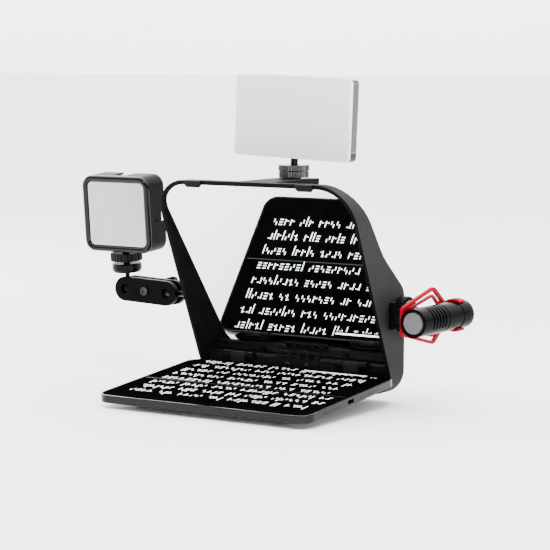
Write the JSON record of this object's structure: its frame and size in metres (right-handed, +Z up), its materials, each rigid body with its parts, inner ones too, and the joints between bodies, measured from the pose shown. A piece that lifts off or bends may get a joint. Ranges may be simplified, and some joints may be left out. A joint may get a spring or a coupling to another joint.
{
  "type": "teleprompter",
  "caption": "Teleprompter hood with slanted beam-splitter glass, folding tray holding a tablet, a top panel light, a small light on a ball arm and a side microphone.",
  "frame": {"origin": "on the lens axis, at the shoulder of the adapter ring where the lens's front rim seats", "axes": "+Y along the lens axis from the presenter towards the camera, +Z up, +X to the presenter's right as seen from the front of the hood (the microphone's side)"},
  "size_m": [0.3275, 0.1981, 0.259],
  "materials": {
    "black_metal": "satin black anodised metal",
    "grey_metal": "satin dark grey anodised metal",
    "tablet_metal": "fine blasted dark grey aluminium",
    "black_plastic": "fine moulded texture",
    "gloss_black": "polished",
    "mirror_glass": "coated beam-splitter glass",
    "screen_glass": "opaque black screen glass, polished",
    "diffuser": "milky white diffuser",
    "grey_diffuser": "milky pale grey diffuser",
    "aluminium": "satin grey",
    "steel": "plain machined steel",
    "mesh_grey": "fine woven wire mesh",
    "red_plastic": "smooth red moulding",
    "rubber": "matt",
    "board": "circuit board, solder mask",
    "cell": "wrapped battery cell"
  },
  "bodies": {
    "root": {"hood_frame": "grey_metal", "rear_shell": "black_plastic", "beam_splitter_glass": "mirror_glass", "upper_clip_left": "black_metal", "upper_clip_right": "black_metal", "lower_clip_left": "black_plastic", "lower_clip_right": "black_plastic", "block_screw_left": "steel", "block_screw_right": "steel", "hinge_bracket_left": "black_metal", "hinge_bracket_right": "black_metal", "hinge_pin_left": "steel", "hinge_pin_right": "steel", "apron": "black_plastic", "slotted_block": "black_plastic", "side_shoe": "black_metal", "panel_foot": "black_metal", "hood_ball_stud": "black_metal", "mic_foot": "black_metal"},
    "adapter": {"adapter_ring": "black_metal"},
    "collar_screw": {"collar_screw": "steel"},
    "tray": {"tray_plate": "grey_metal", "tray_pad": "rubber", "tray_foot_left": "rubber", "tray_foot_right": "rubber", "tablet_case": "tablet_metal", "tablet_screen": "screen_glass", "tablet_battery": "cell"},
    "tablet_power": {"tablet_power": "tablet_metal"},
    "tablet_volume_up": {"tablet_volume_up": "tablet_metal"},
    "tablet_volume_down": {"tablet_volume_down": "tablet_metal"},
    "panel_lower_ring": {"panel_lower_ring": "black_metal"},
    "panel_upper_ring": {"panel_upper_ring": "black_metal"},
    "panel": {"panel_housing": "aluminium", "panel_diffuser": "diffuser", "panel_led_board": "board", "panel_battery": "cell", "panel_stud": "black_metal"},
    "panel_key": {"panel_key": "gloss_black"},
    "panel_dial": {"panel_dial": "black_metal"},
    "arm": {"arm_front_cheek": "black_metal", "arm_rear_cheek": "black_metal", "arm_bolt": "steel"},
    "arm_lever": {"arm_lever": "black_metal"},
    "cube_stand": {"cube_stand": "black_metal"},
    "cube_ring": {"cube_lock_ring": "black_metal"},
    "cube": {"cube_housing": "black_plastic", "cube_bezel": "gloss_black", "cube_diffuser": "grey_diffuser", "cube_led_board": "board"},
    "cube_key": {"cube_key": "gloss_black"},
    "mic_nut": {"mic_lock_nut": "black_metal"},
    "mic_mount": {"mic_mount_base": "black_metal", "mic_lyre": "red_plastic"},
    "mic": {"mic_body": "black_metal", "mic_grille": "mesh_grey", "mic_socket": "black_plastic"}
  },
  "joints": [
    {"name": "tray_fold", "type": "hinge", "parent": "root", "child": "tray", "pos_m": [0, -0.0318, -0.0605], "axis": [-1, 0, 0], "range_deg": [0, 71.5]},
    {"name": "tablet_power_press", "type": "slide", "parent": "tray", "child": "tablet_power", "axis": [1, 0, 0], "range_m": [0, 0.0003], "stiffness_N_per_m": 300},
    {"name": "tablet_volume_up_press", "type": "slide", "parent": "tray", "child": "tablet_volume_up", "axis": [1, 0, 0], "range_m": [0, 0.0003], "stiffness_N_per_m": 300},
    {"name": "tablet_volume_down_press", "type": "slide", "parent": "tray", "child": "tablet_volume_down", "axis": [1, 0, 0], "range_m": [0, 0.0003], "stiffness_N_per_m": 300},
    {"name": "adapter_turn", "type": "hinge", "parent": "root", "child": "adapter", "pos_m": [0, 0, 0], "axis": [0, 1, 0], "continuous": true},
    {"name": "collar_screw_turn", "type": "hinge", "parent": "root", "child": "collar_screw", "pos_m": [0, -0.0103, 0.046], "axis": [0, 0, 1], "continuous": true},
    {"name": "panel_lower_ring_turn", "type": "hinge", "parent": "root", "child": "panel_lower_ring", "pos_m": [0, -0.0333, 0.0867], "axis": [0, 0, 1], "continuous": true},
    {"name": "panel_upper_ring_turn", "type": "hinge", "parent": "root", "child": "panel_upper_ring", "pos_m": [0, -0.0333, 0.0927], "axis": [0, 0, 1], "continuous": true},
    {"name": "panel_swivel", "type": "hinge", "parent": "root", "child": "panel", "pos_m": [0, -0.0328, 0.0975], "axis": [0.0436, 0, 0.999], "range_deg": [-90, 90]},
    {"name": "panel_key_press", "type": "slide", "parent": "panel", "child": "panel_key", "axis": [0, -1, 0], "range_m": [0, 0.0008], "stiffness_N_per_m": 300},
    {"name": "panel_dial_turn", "type": "hinge", "parent": "panel", "child": "panel_dial", "pos_m": [0.01569, -0.0273, 0.15887], "axis": [0, 1, 0], "range_deg": [-135, 135]},
    {"name": "arm_swing", "type": "hinge", "parent": "root", "child": "arm", "pos_m": [-0.114, -0.0443, -0.0117], "axis": [0, 1, 0], "range_deg": [-60, 8]},
    {"name": "arm_lever_turn", "type": "hinge", "parent": "arm", "child": "arm_lever", "pos_m": [-0.135, -0.0443, -0.01085], "axis": [0, 1, 0], "continuous": true},
    {"name": "cube_tilt", "type": "hinge", "parent": "arm", "child": "cube_stand", "pos_m": [-0.156, -0.0443, -0.01], "axis": [0, 1, 0], "range_deg": [-75, 8]},
    {"name": "cube_ring_turn", "type": "hinge", "parent": "cube_stand", "child": "cube_ring", "pos_m": [-0.158, -0.04665, 0.0169], "axis": [0, -0.0872, 0.9962], "continuous": true},
    {"name": "cube_swivel", "type": "hinge", "parent": "cube_stand", "child": "cube", "pos_m": [-0.158, -0.04709, 0.02188], "axis": [0, -0.0872, 0.9962], "range_deg": [-90, 90]},
    {"name": "cube_key_press", "type": "slide", "parent": "cube", "child": "cube_key", "axis": [0, -0.9962, -0.0872], "range_m": [0, 0.0008], "stiffness_N_per_m": 300},
    {"name": "mic_nut_turn", "type": "hinge", "parent": "root", "child": "mic_nut", "pos_m": [0.1, -0.028, -0.017], "axis": [1, 0, 0], "continuous": true},
    {"name": "mic_tilt", "type": "hinge", "parent": "root", "child": "mic_mount", "pos_m": [0.1085, -0.028, -0.017], "axis": [1, 0, 0], "range_deg": [-30, 30]},
    {"name": "mic_slide", "type": "slide", "parent": "mic_mount", "child": "mic", "axis": [0, 1, 0], "range_m": [-0.006, 0.006]}
  ]
}
